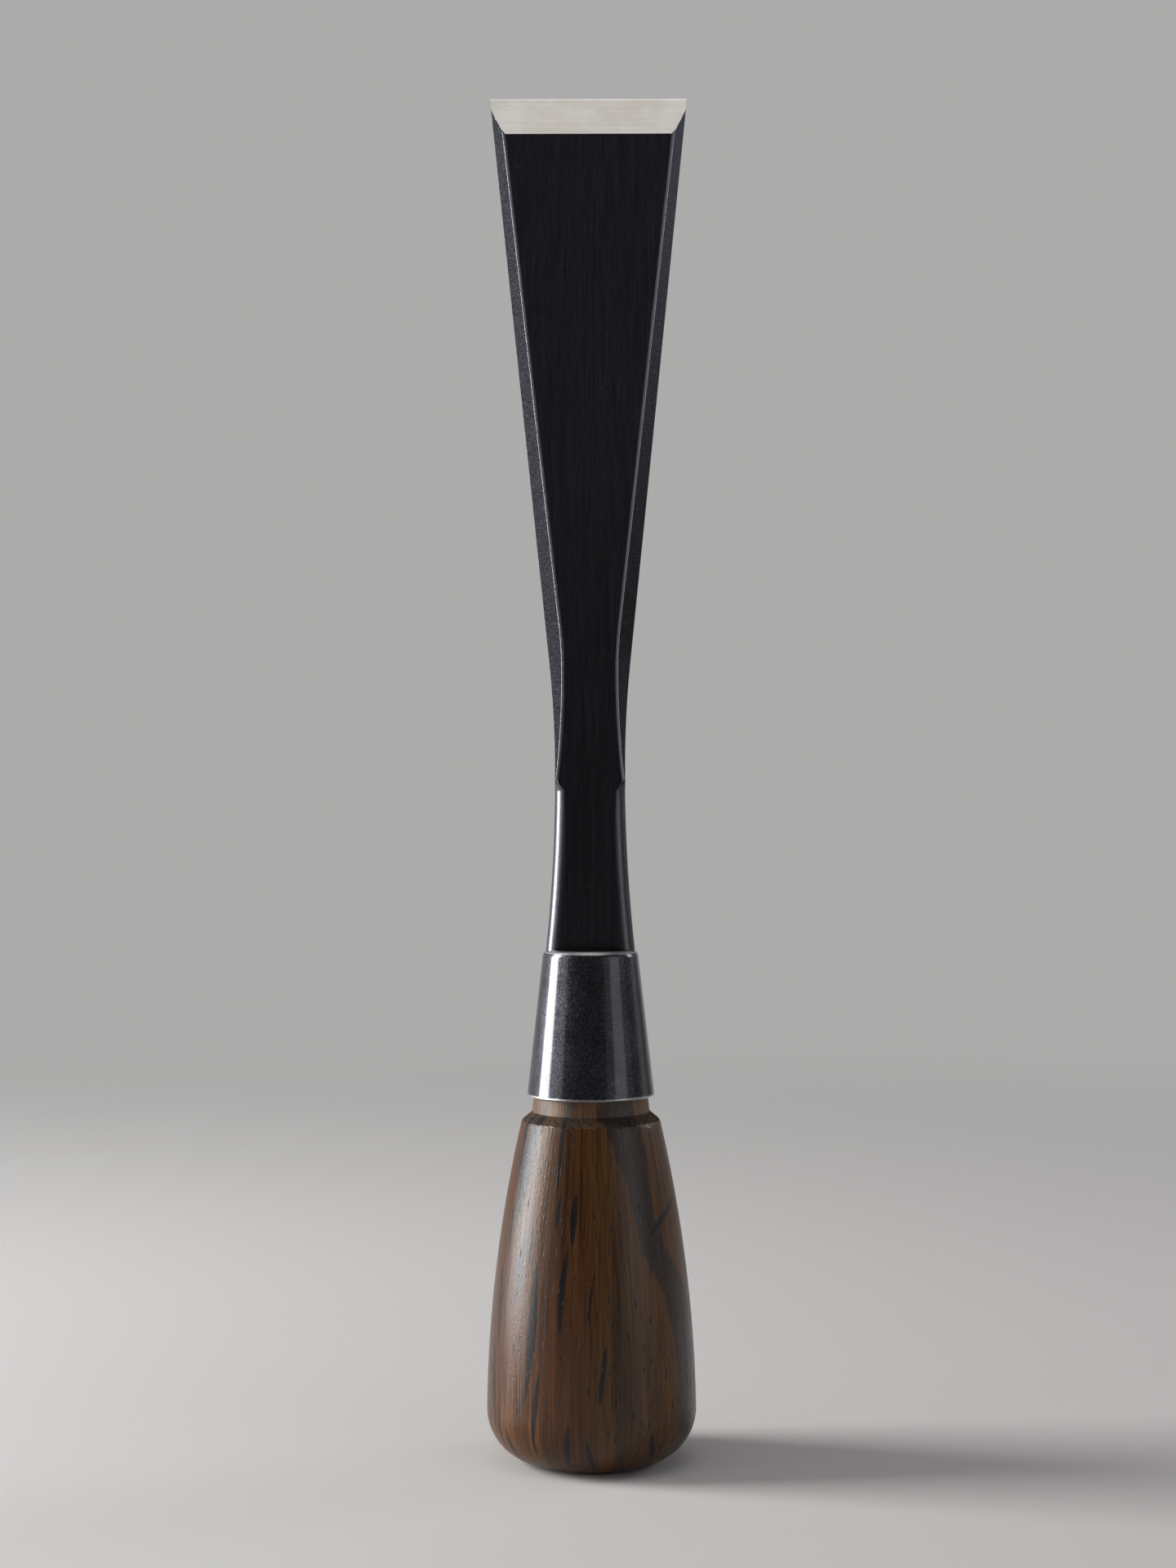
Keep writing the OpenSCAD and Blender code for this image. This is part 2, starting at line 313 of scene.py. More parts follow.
# Values of the wood figure. A layer is its stretch along x, y and z, its detail and its roughness. A step is
# its two ends, with an amount after them where it has one.
woodGrain = {
    "drawnRadius": 15.0, "leastRadius": 6.0, "wanderDetail": 2.0,
    "sway": (0.05, 0.05, 0.011), "swayMiddle": (0.5, 0.5, 0.5), "swayBy": (4.0, 4.0, 0.0),
    "waves": (0.4, 0.4, 0.22), "wavesBy": (0.35, 0.35, 0.0),
    "fibre": ((2.8, 2.8, 0.05), 5, 0.66), "lines": ((0.7, 0.7, 0.012), 3, 0.55),
    "bands": ((0.26, 0.26, 0.008), 2, 0.5), "hue": ((0.085, 0.085, 0.012), 2, 0.5),
    "wrinkles": ((3.2, 3.2, 1.2), 3, 0.62), "clusters": ((0.09, 0.09, 0.04), 1, 0.5),
    "hueAcross": 0.006, "hueStep": (0.36, 0.62),
    "lineDark": (0.50, 0.30, 0.42), "bandsDark": (0.50, 0.34, 0.55),
    "fibreTone": (0.33, 0.67, colour(0.60, 0.57, 0.54), colour(1.45, 1.45, 1.42)),
    # the pale zone low at the left is paler wood and a painted sheen where the light falls
    "paleSheenAcross": (-7.0, -16.0), "paleSheenUp": (40.0, 12.0), "paleSheenStep": (0.38, 0.56),
    "paleSheenTone": colour(1.75, 1.95, 3.2),
    "ragged": 1.4, "bandRagged": 2.4, "band": (0.35, -0.35, 0.82), "streakRagged": 0.24,
    "streak": (0.10, -0.10, 0.94), "clusterStep": (0.36, 0.54), "shift": (31.0, 17.0, 5.0),
    "bandTones": (colour(0.006, 0.0048, 0.005), colour(0.026, 0.019, 0.017)),
    "pores": {"Stretch": (1.45, 1.45, 0.22), "Size": 0.15, "Missing": 0.2}, "poreAmount": 0.85,
    "hairs": {"Stretch": (1.7, 1.7, 0.07), "Size": 0.09, "Missing": 0.35}, "hairAmount": 0.6,
    # the pale flecks are painted glints on raised grain
    "glintFlecks": {"Stretch": (1.6, 1.6, 0.42), "Size": 0.10, "Missing": 0.55}, "glintFleckAmount": 0.55,
    "pits": {"Stretch": (1.4, 1.4, 0.7), "Size": 0.18, "Missing": 0.2},
    "poreDepth": -0.18, "pitDepth": -0.16, "fibreHeight": 0.4, "wrinkleHeight": 0.6,
    "lineGloss": 0.6, "fibreGloss": 0.4, "glossRange": (0.35, 0.65), "poreRough": 0.25,
}


# Wood figure: fibres and growth lines along the axis, swayed by a slow noise, with paler wood low at the left
# that is also a painted sheen on the side where the light falls, near-black streaks and a dark band where the
# marks say, open pores in clusters and pale flecks painted as glints on raised grain. It is drawn to one
# radius first, so that the fibres follow the turned side.
def fillWoodFigure(given):
    g = woodGrain

    def wander(key):
        inputs = {"Vector": stretched(place, g[key]), "Scale": 1.0, "Detail": g["wanderDetail"]}
        return addNode("TexNoise", inputs).outputs["Color"]

    def layer(vector, key):
        by, detail, rough = g[key]
        return noise(stretched(vector, by), 1.0, detail, rough)

    def dots(vector, key):
        return useEffect(specks, {"Place": vector, **g[key]})["Mask"]

    radius = lengthOf(stretched(given["Place"], (1.0, 1.0, 0.0)))
    draw = maths("DIVIDE", g["drawnRadius"], maths("MAXIMUM", radius, g["leastRadius"]))
    place = stretched(given["Place"], addNode("CombineXYZ", {0: draw, 1: draw, 2: 1.0}).outputs[0])
    sway = vectorMaths("SUBTRACT", wander("sway"), g["swayMiddle"])
    warped = vectorMaths("MULTIPLY_ADD", sway, g["swayBy"], place)
    wavy = vectorMaths("MULTIPLY_ADD", wander("waves"), g["wavesBy"], warped)
    fibre, wrinkles = layer(wavy, "fibre"), layer(wavy, "wrinkles")
    lines, bands = layer(warped, "lines"), layer(warped, "bands")
    hue = timesPlus(coordinates(place)[0], g["hueAcross"], layer(warped, "hue"))

    wood = between(hue, *g["hueStep"], given["Red"], given["Gold"])
    wood = risenIn(wood, lines, *g["lineDark"], given["Dark"])
    wood = risenIn(wood, bands, *g["bandsDark"], given["Dark"])
    wood = blended(1.0, wood, between(fibre, *g["fibreTone"]), "MULTIPLY")
    spot = coordinates(given["Place"])
    # painted sheen: the paler, greyer stripes low at the left, where the light falls, are paler wood and
    # painted sheen both
    pale = product(rise(spot[0], *g["paleSheenAcross"]), rise(spot[2], *g["paleSheenUp"]))
    paler = blended(1.0, wood, g["paleSheenTone"], "MULTIPLY")
    wood = mixedIn(wood, pale, rise(lines, *g["paleSheenStep"]), paler)

    ragged = centred(fibre, g["ragged"])
    uneven = maths("ADD", ragged, centred(lines, g["bandRagged"]))
    bandEdge = maths("ADD", given["Band"], uneven)
    wood = risenIn(wood, bandEdge, *g["band"], blended(fibre, *g["bandTones"]))
    streakEdge = timesPlus(ragged, g["streakRagged"], given["Streak"])
    wood = risenIn(wood, streakEdge, *g["streak"], given["Black"])

    clusters = rise(layer(place, "clusters"), *g["clusterStep"])
    pores = product(dots(wavy, "pores"), clusters)
    shifted = vectorMaths("ADD", wavy, g["shift"])
    wood = mixedIn(wood, dots(warped, "hairs"), g["hairAmount"], given["Dark"])
    # painted glints: pale flecks stand in for the highlights on raised grain
    wood = mixedIn(wood, dots(shifted, "glintFlecks"), g["glintFleckAmount"], given["GlintFleck"])
    wood = mixedIn(wood, pores, g["poreAmount"], given["Black"])
    hollows = timesPlus(pores, g["poreDepth"], product(dots(shifted, "pits"), g["pitDepth"]))
    height = timesPlus(fibre, g["fibreHeight"], timesPlus(wrinkles, g["wrinkleHeight"], hollows))
    gloss = timesPlus(lines, g["lineGloss"], product(fibre, g["fibreGloss"]))
    return {"Colour": wood, "Gloss": gloss, "Pores": pores, "Height": height}


woodTones = ("Red", "Gold", "Dark", "Black", "GlintFleck")
woodFigure = effect(
    "woodFigure",
    {"Place": "Vector", "Streak": "Float", "Band": "Float", **dict.fromkeys(woodTones, "Color")},
    {"Colour": "Color", "Gloss": "Float", "Pores": "Float", "Height": "Float"}, fillWoodFigure)


# Finishes

# Wood: roughness, depth of the relief in mm, specular level, and the tones in the order of woodTones
woodLooks = {
    "oiledWood": {"rough": (0.24, 0.40), "depth": 0.07, "specular": 0.42, "tones": (
        (0.061, 0.0185, 0.002), (0.083, 0.0345, 0.005), (0.014, 0.0055, 0.002), (0.0045, 0.004, 0.005),
        (0.17, 0.095, 0.04))},
    "bareWood": {"rough": (0.40, 0.56), "depth": 0.07, "specular": 0.5, "tones": (
        (0.105, 0.044, 0.014), (0.145, 0.073, 0.025), (0.026, 0.014, 0.007), (0.040, 0.028, 0.019),
        (0.40, 0.29, 0.18))},
    "endGrainWood": {"rough": (0.6, 0.85), "depth": 0.12, "specular": 0.25, "tones": (
        (0.036, 0.018, 0.008), (0.060, 0.032, 0.012), (0.008, 0.005, 0.003), (0.005, 0.0045, 0.0045),
        (0.22, 0.14, 0.06))},
}


def makeWood(name):
    k = woodLooks[name]
    finish, shader, place = newFinish(name, 0.0, specular=k["specular"])
    inputs = {"Place": place, "Streak": mark("streak"), "Band": mark("band")}
    for tone, value in zip(woodTones, k["tones"]):
        inputs[tone] = colour(*value)
    wood = useEffect(woodFigure, inputs)
    rough = ranged(wood["Gloss"], *k["rough"], *woodGrain["glossRange"])
    rough = maths("MULTIPLY_ADD", wood["Pores"], woodGrain["poreRough"], rough, clamp=True)
    feed(shader, wood["Colour"], rough, wood["Height"], k["depth"])
    return finish


def brushLines(place, stretch):
    return useEffect(brushed, {"Place": place, "Stretch": stretch})["Lines"]


# Bare metal shows where the edges are worn
def wearEdges(base, place, breaks, amount, bare):
    worn = useEffect(wornEdge, {"Edge": mark("edge"), "Place": place, "Breaks": breaks})["Mask"]
    return mixedIn(base, worn, amount, bare)


scratchLook = {"width": 0.42, "depth": 1.0, "grains": {"Stretch": (1, 1, 1), "Size": 0.10, "Missing": 0.7}}


# Short straight scratches of a length in mm, leaning from the axis by an angle in degrees; most are left out
def scratches(place, lean, length):
    k = scratchLook
    size = (k["width"], k["depth"], length)
    inputs = {"Vector": place, "Rotation": (0.0, radians(lean), 0.0), "Scale": size}
    leaning = addNode("Mapping", inputs, vector_type="TEXTURE").outputs[0]
    return useEffect(specks, {"Place": leaning, **k["grains"]})["Mask"]


# In a look, wear is how broken it is, its amount and its colour
blackSteelLook = {
    "coat": 0.4, "coatRough": 0.2, "brush": (6.0, 6.0, 0.12),
    "base": (0.2, 0.8, colour(0.030, 0.029, 0.035), colour(0.080, 0.079, 0.093)),
    "patches": (0.09, 3, 0.6), "patch": (0.45, 0.7, 0.5, colour(0.056, 0.055, 0.060)),
    "scratches": ((75, 1.5), (22, 2.6), (-48, 1.8), (8, 3.4)), "scratch": (0.34, grey(0.24)),
    # upward is painted shade: the front is darker low and lighter high, as the light falls on it
    "upward": (100.0, 215.0, grey(0.6), grey(1.2)), "grit": (8.0, 3, 0.7),
    "rub": (0.32, 0.74, colour(0.032, 0.031, 0.036), colour(0.135, 0.135, 0.148)),
    "wear": (0.8, 0.8, colour(0.30, 0.30, 0.31)), "rough": (0.27, 0.40), "scratchDepth": 0.6, "depth": 0.012,
}


# Brushed lengthwise and scratched, with painted shade that darkens it down towards the neck and lightens it
# towards the edge, and rubbed to a gritty grey on the neck's sides
def makeBlackSteel():
    k = blackSteelLook
    finish, shader, place = newFinish("blackSteel", 1.0, coat=k["coat"], coatRough=k["coatRough"])
    lines = brushLines(place, k["brush"])
    hairs = 0.0
    for lean, length in k["scratches"]:
        hairs = maths("MAXIMUM", hairs, scratches(place, lean, length))
    base = between(lines, *k["base"])
    base = risenIn(base, noise(place, *k["patches"]), *k["patch"])
    base = mixedIn(base, hairs, *k["scratch"])
    # painted shade: the colour darkens down towards the neck and lightens towards the edge, as light falls on
    # the front
    base = blended(1.0, base, between(coordinates(place)[2], *k["upward"]), "MULTIPLY")
    rubbed = between(noise(place, *k["grit"]), *k["rub"])
    base = wearEdges(blended(mark("rub"), base, rubbed), place, *k["wear"])
    height = timesPlus(hairs, k["scratchDepth"], lines)
    feed(shader, base, ranged(lines, *k["rough"]), height, k["depth"])
    return finish


groundLook = {
    "brush": (0.10, 2.6, 3.4), "clouds": (0.16, 5, 0.62), "cloudStep": (0.30, 0.70),
    "dark": (0.595, 0.57, 0.525), "pale": (0.675, 0.655, 0.625),
    "lines": (0.25, 0.75, grey(0.86), grey(1.13)), "depth": 0.004,
    "groundBevel": {"bright": 0.84, "rough": (0.27, 0.36)},
    "honedEdge": {"bright": 0.95, "rough": (0.14, 0.22)},
}


# Bright ground steel: soft clouds under fine lines that run across the blade
def makeGroundBevel(name):
    k = groundLook
    finish, shader, place = newFinish(name, 1.0)
    lines = brushLines(place, k["brush"])
    dark, pale = (colour(*(k[name]["bright"] * v for v in k[tone])) for tone in ("dark", "pale"))
    base = between(noise(place, *k["clouds"]), *k["cloudStep"], dark, pale)
    base = blended(1.0, base, between(lines, *k["lines"]), "MULTIPLY")
    feed(shader, base, ranged(lines, *k[name]["rough"]), lines, k["depth"])
    return finish


sideGroundLook = {
    "lines": (1.0, 4, 0.72), "stretch": (4.4, 0.9, 0.9),
    "base": (0.40, 0.68, colour(0.0006, 0.0006, 0.001), colour(0.0105, 0.0108, 0.0155)),
    "glints": {"Stretch": (3.4, 2.0, 2.0), "Size": 0.2, "Missing": 0.72},
    "glint": (0.6, colour(0.070, 0.071, 0.080)), "glintHeight": 0.4, "depth": 0.05,
    "wear": (0.7, 0.6, colour(0.42, 0.42, 0.43)), "rough": (0.26, 0.45),
}


# A side bevel is ground black: short grinding marks cross it square to its edge, where z plus the taper times
# the distance from the axis stays the same, and small grains glint between them
def makeSideGround(taper):
    k = sideGroundLook
    finish, shader, place = newFinish("sideGround", 1.0)
    x, y, z = coordinates(place)
    out = maths("ABSOLUTE", x)
    along = timesPlus(out, taper, z)
    crossed = addNode("CombineXYZ", {0: along, 1: out, 2: y}).outputs[0]
    lines = noise(stretched(crossed, k["stretch"]), *k["lines"])
    glints = useEffect(specks, {"Place": crossed, **k["glints"]})["Mask"]
    base = mixedIn(between(lines, *k["base"]), glints, *k["glint"])
    base = wearEdges(base, place, *k["wear"])
    height = timesPlus(glints, k["glintHeight"], lines)
    feed(shader, base, ranged(lines, *k["rough"]), height, k["depth"])
    return finish


arrisLook = {
    "breaks": (0.9, 3, 0.6), "edgeStep": (0.25, 0.95), "breakStep": (0.25, 0.6),
    "dull": colour(0.09, 0.09, 0.096), "bright": colour(0.33, 0.33, 0.34), "rough": (0.26, 0.36),
}


# The strip along a front arris is dull in its middle and bright along both edges
def makeArrisStrip():
    k = arrisLook
    finish, shader, place = newFinish("arrisStrip", 1.0)
    breaks = noise(place, *k["breaks"])
    edges = rise(mark("edge"), *k["edgeStep"])
    base = mixedIn(k["dull"], edges, rise(breaks, *k["breakStep"]), k["bright"])
    feed(shader, base, ranged(breaks, *k["rough"]))
    return finish


lappedLook = {
    "brush": (2.4, 2.4, 0.08), "scuffs": (1.0, 4, 0.6), "scuffStretch": (0.35, 0.35, 0.09),
    "scuffReach": 26.0, "lapFrom": 9.0, "lapTo": 17.0,
    "black": (0.3, 0.7, colour(0.017, 0.016, 0.019), colour(0.036, 0.035, 0.041)),
    "bare": (0.3, 0.7, colour(0.42, 0.415, 0.405), colour(0.56, 0.55, 0.54)),
    "wear": (0.8, 0.7, colour(0.40, 0.40, 0.41)), "rough": (0.25, 0.38), "depth": 0.008,
}


# The back is lapped bright for some way behind the cutting edge, and stays black beyond it
def makeLappedBack(lapEnd):
    k = lappedLook
    finish, shader, place = newFinish("lappedBack", 1.0)
    lines = brushLines(place, k["brush"])
    scuffs = noise(stretched(place, k["scuffStretch"]), *k["scuffs"])
    height = timesPlus(scuffs, k["scuffReach"], coordinates(place)[2])
    black, bare = between(lines, *k["black"]), between(lines, *k["bare"])
    base = between(height, lapEnd + k["lapFrom"], lapEnd + k["lapTo"], black, bare)
    base = wearEdges(base, place, *k["wear"])
    feed(shader, base, ranged(lines, *k["rough"]), lines, k["depth"])
    return finish


gunmetalLook = {
    "coat": 0.75, "coatRough": 0.11, "coatIor": 1.6, "clouds": (0.2, 4, 0.6),
    "base": (0.3, 0.7, colour(0.019, 0.019, 0.024), colour(0.038, 0.038, 0.047)),
    "grit": (4.0, 3, 0.7), "gritTone": (0.44, 0.74, grey(0.45), grey(3.4)), "rings": (0.12, 0.12, 2.2),
    "wear": (0.5, 0.8, grey(0.50)), "rough": (0.24, 0.42), "ringHeight": 0.2, "depth": 0.06,
}


# Gunmetal: a dark coated steel with a fine tumbled grit, turning rings and bright worn edges
def makeGunmetal():
    k = gunmetalLook
    finish, shader, place = newFinish("gunmetal", 1.0, coat=k["coat"], coatRough=k["coatRough"])
    give(shader, "Coat IOR", k["coatIor"])
    grit = noise(place, *k["grit"])
    base = between(noise(place, *k["clouds"]), *k["base"])
    base = blended(1.0, base, between(grit, *k["gritTone"]), "MULTIPLY")
    base = wearEdges(base, place, *k["wear"])
    height = timesPlus(brushLines(place, k["rings"]), k["ringHeight"], grit)
    feed(shader, base, ranged(grit, *k["rough"]), height, k["depth"])
    return finish


# Blade

bladeSizes = {
    "edgeWidth": 38.1, "tipZ": 262, "heelThick": 4.5, "bevelAngle": 30, "honeWidth": 0.35, "honeAngle": 5,
    "sideAngle": 56.7, "sideTipWidth": 1.95, "sideRootWidth": 2.8, "rootZ": 160, "runoutBend": 98,
    "runoutRadius": 215, "arrisWidth": 0.5, "waistWidth": 13.4, "waistZ": 132, "waistRadius": 200,
    "frontY": -4.5, "backY": 4, "neckRound": 2.8, "roundTopZ": 128.4, "roundEndSlope": 3, "roundEnd": 6,
    "bendZ": 122, "bendRadius": 600, "footHalf": 8.5, "footEdge": 8.9, "waistUp": 33.9, "cutLowZ": 117,
    "spigotRadius": 3.7, "spigotZ": 92.7, "seatGap": 0.02, "cornerRound": 0.14, "lapEnd": 196,
    "heelStep": 0.4, "runoutZ": 146, "notchZ": 127, "neckLowZ": 104, "footLift": 0.15, "footDrop": 0.6,
    "edgeBelowWaist": 1.4, "rubAboveRound": 1, "footOfBevelEdge": 0.5, "sharpAngle": 20,
    "bevelRows": 7, "seatRings": 8, "pinRings": 4, "endRings": 3,
    "mapBevel": 1.15, "mapLow": 0.5, "mapLeast": 0.02,
}
# The parts of a section from the middle of the front to the middle of the back: finish and columns
bladeParts = {
    "face": ("black", 22), "strip": ("strip", 3), "bevel": ("side", 6), "round": ("black", 26),
    "flank": ("black", 6), "footRound": ("black", 14), "back": ("back", 22),
}
socketSizes = {
    "mouthZ": 69.9, "rimZ": 98.1, "floorZ": 92.4, "mouthRadius": 12.25, "crownRadius": 9.05, "wall": 1.25,
    "domeAngle": 4, "crownRound": 1.8, "lip": 0.25, "holeRadius": 3.72, "columns": 192, "sharpAngle": 28,
    "rimWear": 0.95, "rimWearFrom": 3, "rimWearShort": 2, "insideMap": 0.25,
}
noCut = 1e3
tiny = 1e-6


# The round between the cone and the crown: its centre and the outward normals of the two
def crownRim():
    s = socketSizes
    dome = radians(s["domeAngle"])
    lean = atan((s["mouthRadius"] - s["crownRadius"]) / (s["rimZ"] - s["mouthZ"]))
    n1, n2 = np.array([cos(lean), sin(lean)]), np.array([sin(dome), cos(dome)])
    return np.array([s["crownRadius"], s["rimZ"]]) - (n1 + n2) * s["crownRound"] / (1 + n1 @ n2), n1, n2


# Height of the crown, or of a surface a small gap above it: a flat cone, then a round towards the rim
def domeZ(r, gap=0.0):
    s = socketSizes
    centre, _, n2 = crownRim()
    reach = s["crownRound"] + gap
    cone = s["rimZ"] + (s["crownRadius"] - r) * tan(radians(s["domeAngle"])) + gap / n2[1]
    rim = centre[1] + np.sqrt(np.maximum(reach ** 2 - (r - centre[0]) ** 2, 0))
    return np.where(r < centre[0] + reach * n2[0], cone, rim)


# The outline of the blade over z. The front is the rearmost of face, main bevel and honed strip. The side is
# a straight taper that runs into a hollow waist and out again along the neck. A cut along the front arris
# lies where x sin(lean) - y cos(lean) equals its reach, a line that runs out in two arcs.
def bladeOutline(z):
    s = bladeSizes
    bevel, hone = radians(s["bevelAngle"]), radians(s["bevelAngle"] + s["honeAngle"])
    honeY = s["backY"] - s["honeWidth"] * sin(hone)
    honeZ = s["tipZ"] - s["honeWidth"] * cos(hone)
    heelY = s["backY"] - s["heelThick"]
    heelZ = honeZ - (honeY - heelY) / tan(bevel)
    faceSlope = (heelY - s["frontY"]) / (heelZ - s["bendZ"])
    bendLow = s["bendZ"] - s["bendRadius"] * tan(atan(faceSlope) / 2)
    bendHigh = bendLow + s["bendRadius"] * sin(atan(faceSlope))
    inBend = np.clip(z - bendLow, 0, bendHigh - bendLow)
    faceBend = s["frontY"] + s["bendRadius"] - np.sqrt(s["bendRadius"] ** 2 - inBend ** 2)
    face = faceBend + np.maximum(z - bendHigh, 0) * faceSlope
    mainBevel = heelY + (z - heelZ) * tan(bevel)
    honed = s["backY"] - (s["tipZ"] - z) * tan(hone)
    front = np.maximum(face, np.maximum(mainBevel, honed))

    halfEdge, halfWaist = s["edgeWidth"] / 2, s["waistWidth"] / 2
    waistX = halfWaist + s["waistRadius"]
    reach = hypot(waistX - halfEdge, s["waistZ"] - s["tipZ"])
    taperLength = sqrt(reach ** 2 - s["waistRadius"] ** 2)
    taperAngle = atan2(s["waistZ"] - s["tipZ"], waistX - halfEdge) - asin(s["waistRadius"] / reach)
    taperX = halfEdge + taperLength * cos(taperAngle)
    taperZ = s["tipZ"] + taperLength * sin(taperAngle)
    taper = (halfEdge - taperX) / (s["tipZ"] - taperZ)
    fromWaist = np.minimum(np.abs(z - s["waistZ"]), s["waistRadius"])
    hollow = waistX - np.sqrt(s["waistRadius"] ** 2 - fromWaist ** 2)
    swell = s["footHalf"] - halfWaist
    neckRadius = (s["waistUp"] ** 2 + swell ** 2) / (2 * swell)
    neck = halfWaist + neckRadius - np.sqrt(neckRadius ** 2 - np.maximum(s["waistZ"] - z, 0) ** 2)
    sideAt = lambda height: taperX + (height - taperZ) * taper
    side = np.where(z > taperZ, sideAt(z), np.where(z > s["waistZ"], hollow, neck))

    def cutReach(lean, depth):
        sine, cosine = sin(lean), cos(lean)
        tip = (sideAt(heelZ) - s["sideTipWidth"]) * sine - heelY * cosine - depth
        rootY = heelY - (heelZ - s["rootZ"]) * faceSlope
        root = (sideAt(s["rootZ"]) - s["sideRootWidth"]) * sine - rootY * cosine - depth
        slope = (tip - root) / (heelZ - s["rootZ"])
        tilt, upright = atan(slope), -atan(faceSlope * cosine)
        widen = sin(radians(s["sideAngle"])) / sine
        bendR, curveR = s["runoutBend"] * widen, s["runoutRadius"] * widen
        bendU, bendZ = root + bendR * cos(tilt), s["rootZ"] - bendR * sin(tilt)
        curveU = bendU + (curveR - bendR) * cos(upright)
        curveZ = bendZ - (curveR - bendR) * sin(upright)
        bend = bendU - np.sqrt(np.maximum(bendR ** 2 - (z - bendZ) ** 2, 0))
        curve = curveU - np.sqrt(np.maximum(curveR ** 2 - (z - curveZ) ** 2, 0))
        runout = np.where(z > bendZ + bendR * sin(upright), bend, curve)
        cut = np.where(z > s["rootZ"], root + slope * (z - s["rootZ"]), runout)
        return np.where(z < s["cutLowZ"], noCut, cut)

    lean = radians(s["sideAngle"])
    strip = s["arrisWidth"] / (2 * tan(pi / 2 - lean / 2))
    return {"front": front, "side": side,
            "bevelCut": cutReach(lean, 0), "stripCut": cutReach(lean / 2, strip),
            "heelZ": heelZ, "honeZ": honeZ, "taper": taper}


stationLimits = {"least": 1e-9, "mostShare": 0.25}


# Stations between two ends, row by row: the first end, one close behind it, an even run, and one close before
# the other end
def stations(start, end, count, close):
    length = end - start
    near = np.minimum(close / np.maximum(np.abs(length), stationLimits["least"]), stationLimits["mostShare"])
    t = join([0 * near, near + (1 - 2 * near) * np.linspace(0, 1, count - 1)], 1)
    return start + length * t


# Heights of the blade's sections, closer together where the outline turns. A run is two ends and its rows.
def sectionHeights(heelZ, honeZ, lowZ):
    s = bladeSizes
    heelLow, footZ = heelZ - s["heelStep"], lowZ - s["footDrop"]
    runs = ((s["tipZ"], honeZ, 1), (honeZ, heelZ, s["bevelRows"]), (heelZ, heelLow, 3),
            (heelLow, s["rootZ"], 44), (s["rootZ"], s["runoutZ"], 22), (s["runoutZ"], s["waistZ"], 24),
            (s["waistZ"], s["notchZ"], 44), (s["notchZ"], s["neckLowZ"], 24), (s["neckLowZ"], lowZ, 8),
            (lowZ, footZ, 1))
    return join([np.linspace(a, b, n, endpoint=False) for a, b, n in runs] + [[footZ]])[:, None]


